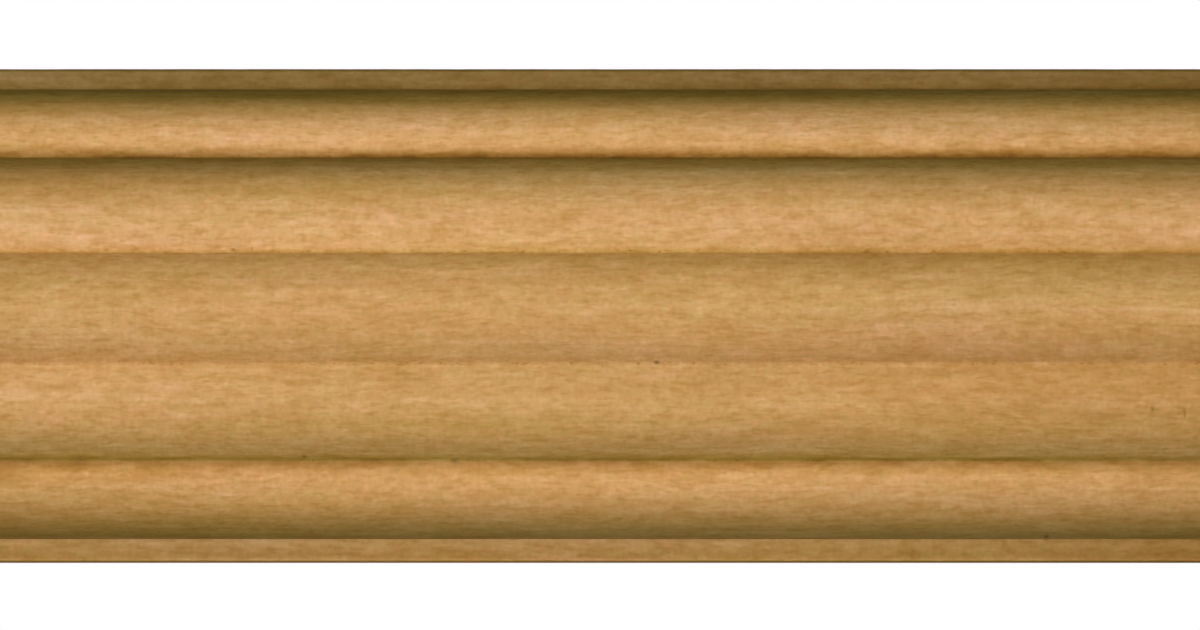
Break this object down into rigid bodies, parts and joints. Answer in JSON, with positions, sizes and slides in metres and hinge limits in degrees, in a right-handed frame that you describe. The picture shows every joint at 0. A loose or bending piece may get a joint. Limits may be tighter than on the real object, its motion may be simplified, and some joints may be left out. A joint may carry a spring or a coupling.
{
  "type": "reeded half-round moulding",
  "caption": "Straight length of stained hardwood moulding with convex reeds side by side over a low arch between two flat fillets, flat on the back to be fixed to a wall, cabinet or frame.",
  "frame": {"origin": "centre of the flat back face", "axes": "+X along the length, +Y out of the back towards what the moulding is fixed to, so the reeds face -Y, and +Z across the reeds"},
  "size_m": [0.125, 0.0206, 0.0508],
  "materials": {
    "stained_wood": "satin"
  },
  "bodies": {
    "root": {"reeded_moulding": "stained_wood"}
  },
  "joints": []
}
